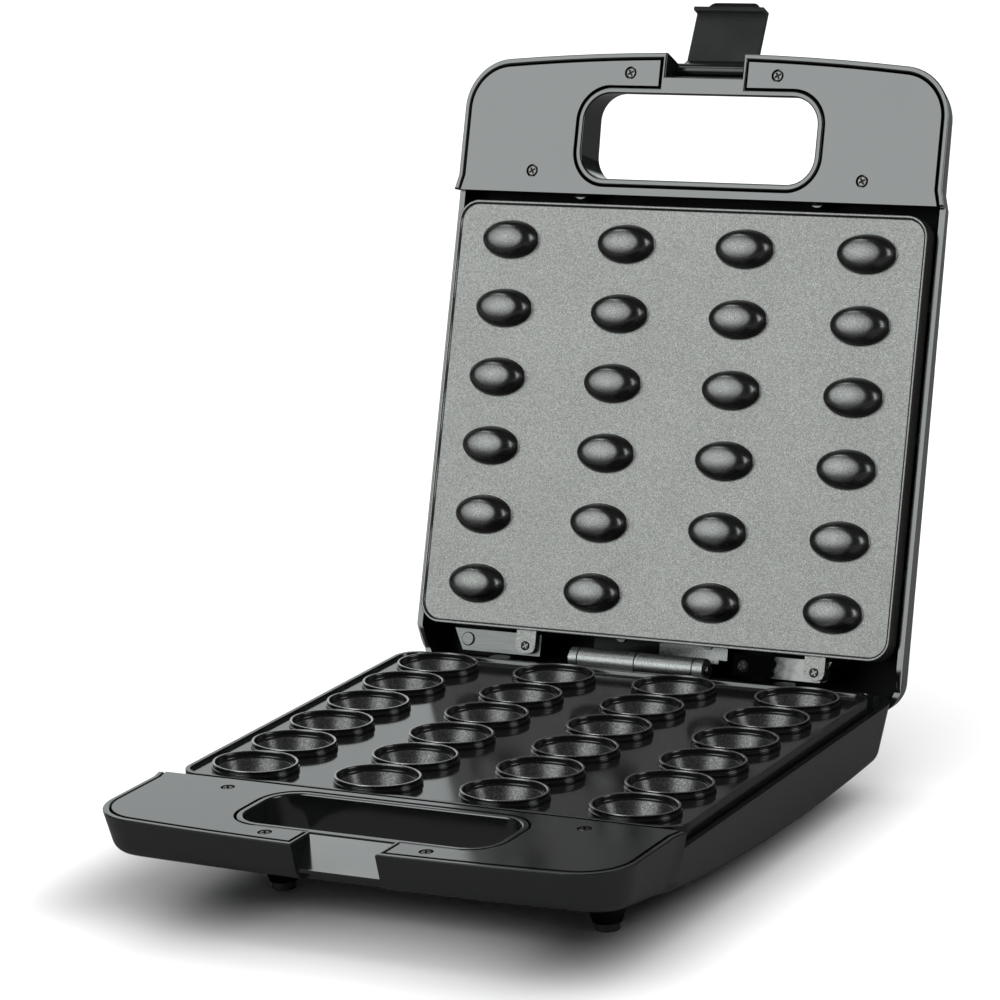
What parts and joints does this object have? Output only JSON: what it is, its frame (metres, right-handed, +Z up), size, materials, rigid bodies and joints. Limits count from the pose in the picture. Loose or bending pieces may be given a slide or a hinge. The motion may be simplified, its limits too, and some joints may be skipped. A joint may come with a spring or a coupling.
{
  "type": "electric nut cookie maker",
  "caption": "Open electric maker for nut-shaped cookies: two black hinged halves with cast plates, grip handles and a flip latch.",
  "frame": {"origin": "the middle of the open part's footprint, on the surface it stands on", "axes": "+Z up, -Y towards the handle of the base, +X to the right of a user at the handle"},
  "size_m": [0.2486, 0.4087, 0.3375],
  "materials": {
    "black_gloss_shell": "glossy moulded plastic",
    "black_satin_plastic": "satin moulded plastic",
    "coated_plate": "dark non-stick coating with a fine sparkle",
    "zinc_steel": "plain zinc plated steel",
    "black_screws": "black oxide",
    "heater_steel": "stainless tube",
    "reflector_aluminium": "bright rolled sheet",
    "foot_rubber": "moulded rubber",
    "ceramic_white": "unglazed insulating body",
    "lens_red": "clear tinted plastic",
    "lens_green": "clear tinted plastic",
    "lamp_glass": "clear glass"
  },
  "bodies": {
    "base": {"base_shell": "black_gloss_shell", "base_handle_cover": "black_gloss_shell", "base_cover_screws": "black_screws", "base_plate": "coated_plate", "base_plate_screws": "zinc_steel", "base_element": "heater_steel", "base_thermostat": "ceramic_white", "base_reflector_sheet": "reflector_aluminium", "base_reflector_screws": "zinc_steel", "base_thermal_fuse": "zinc_steel", "terminal_block": "ceramic_white", "cord_gland": "black_satin_plastic", "foot_pads": "foot_rubber", "base_hinge_leaf": "zinc_steel", "base_leaf_screws": "zinc_steel", "hinge_pin": "zinc_steel"},
    "lid": {"lid_shell": "black_gloss_shell", "lid_handle_cover": "black_gloss_shell", "lid_cover_screws": "black_screws", "lid_plate": "coated_plate", "lid_plate_screws": "zinc_steel", "lid_element": "heater_steel", "lid_reflector_sheet": "reflector_aluminium", "lid_reflector_screws": "zinc_steel", "lid_thermal_cutout": "zinc_steel", "lid_hinge_leaf": "zinc_steel", "lid_leaf_screws": "zinc_steel", "lid_bracket_left": "zinc_steel", "lid_bracket_right": "zinc_steel", "lid_bracket_rivet": "zinc_steel", "lid_bracket_screw": "zinc_steel", "power_lens": "lens_red", "ready_lens": "lens_green", "indicator_lamps": "lamp_glass", "latch_pin": "zinc_steel"},
    "latch": {"latch_clip": "black_satin_plastic"}
  },
  "joints": [
    {"name": "lid_hinge", "type": "hinge", "parent": "base", "child": "lid", "pos_m": [0, 0.07789, 0.052], "axis": [1, 0, 0], "range_deg": [0, 108.1]},
    {"name": "latch_hinge", "type": "hinge", "parent": "lid", "child": "latch", "pos_m": [0, 0.17979, 0.30906], "axis": [1, 0, 0], "range_deg": [0, 104]}
  ]
}
